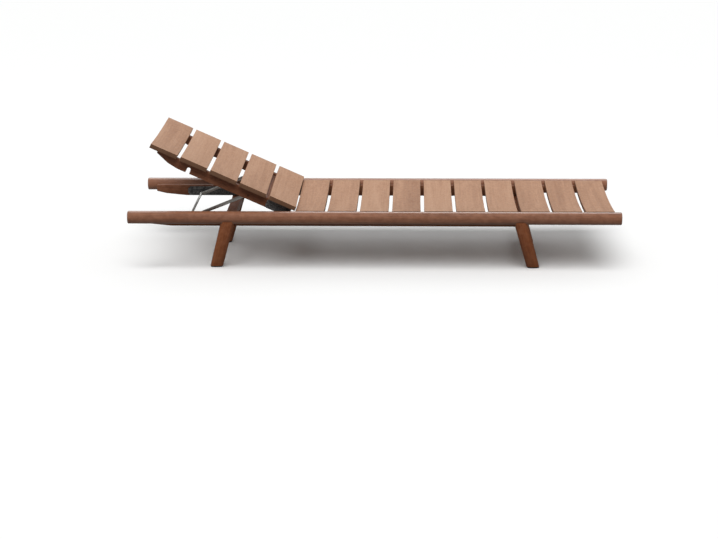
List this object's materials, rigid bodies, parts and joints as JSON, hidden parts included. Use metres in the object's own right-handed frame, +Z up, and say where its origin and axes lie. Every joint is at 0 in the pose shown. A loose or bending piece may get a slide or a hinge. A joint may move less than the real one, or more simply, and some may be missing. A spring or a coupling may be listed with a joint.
{
  "type": "reclining sun lounger",
  "caption": "Low hardwood sun lounger: oval side rails, dished cross slats, splayed oval legs, and a slatted back that reclines on a steel prop frame in notched plates.",
  "frame": {"origin": "on the floor under the middle of the rails", "axes": "+X towards the foot end, +Y to the left of a person lying on it face up, +Z up"},
  "size_m": [2, 0.7, 0.5299],
  "materials": {
    "rail_wood": "oiled",
    "slat_wood": "matt, open grain",
    "leg_wood": "oiled",
    "dark_steel": "matt powder coat",
    "bright_steel": "satin",
    "rubber": "matt"
  },
  "bodies": {
    "frame": {"rail_left": "rail_wood", "rail_right": "rail_wood", "bearer_left": "rail_wood", "bearer_right": "rail_wood", "seat_slat_01": "slat_wood", "seat_slat_02": "slat_wood", "seat_slat_03": "slat_wood", "seat_slat_04": "slat_wood", "seat_slat_05": "slat_wood", "seat_slat_06": "slat_wood", "seat_slat_07": "slat_wood", "seat_slat_08": "slat_wood", "seat_slat_09": "slat_wood", "seat_slat_10": "slat_wood", "leg_head_left": "leg_wood", "leg_head_right": "leg_wood", "leg_foot_left": "leg_wood", "leg_foot_right": "leg_wood", "foot_pad_head_left": "rubber", "foot_pad_head_right": "rubber", "foot_pad_foot_left": "rubber", "foot_pad_foot_right": "rubber", "leg_beam_head": "leg_wood", "leg_beam_foot": "leg_wood", "rack_plate_left": "dark_steel", "rack_plate_right": "dark_steel", "hinge_pin_left": "bright_steel", "hinge_pin_right": "bright_steel"},
    "back": {"back_slat_1": "slat_wood", "back_slat_2": "slat_wood", "back_slat_3": "slat_wood", "back_slat_4": "slat_wood", "back_slat_5": "slat_wood", "back_bearer_left": "rail_wood", "back_bearer_right": "rail_wood", "back_cross_rail": "rail_wood", "hinge_plate_left": "dark_steel", "hinge_plate_right": "dark_steel", "prop_bolt_left": "bright_steel", "prop_bolt_right": "bright_steel"},
    "prop": {"prop_frame": "bright_steel"}
  },
  "joints": [
    {"name": "back_recline", "type": "hinge", "parent": "frame", "child": "back", "pos_m": [-0.29001, 0, 0.218], "axis": [0, 1, 0], "range_deg": [-24, 24]},
    {"name": "prop_swing", "type": "hinge", "parent": "back", "child": "prop", "pos_m": [-0.51425, 0, 0.30689], "axis": [0, 1, 0], "range_deg": [-46.1, 46.1]}
  ],
  "couplings": [
    {"joint": "prop_swing", "follows": "back_recline", "ratio": -1.917}
  ]
}
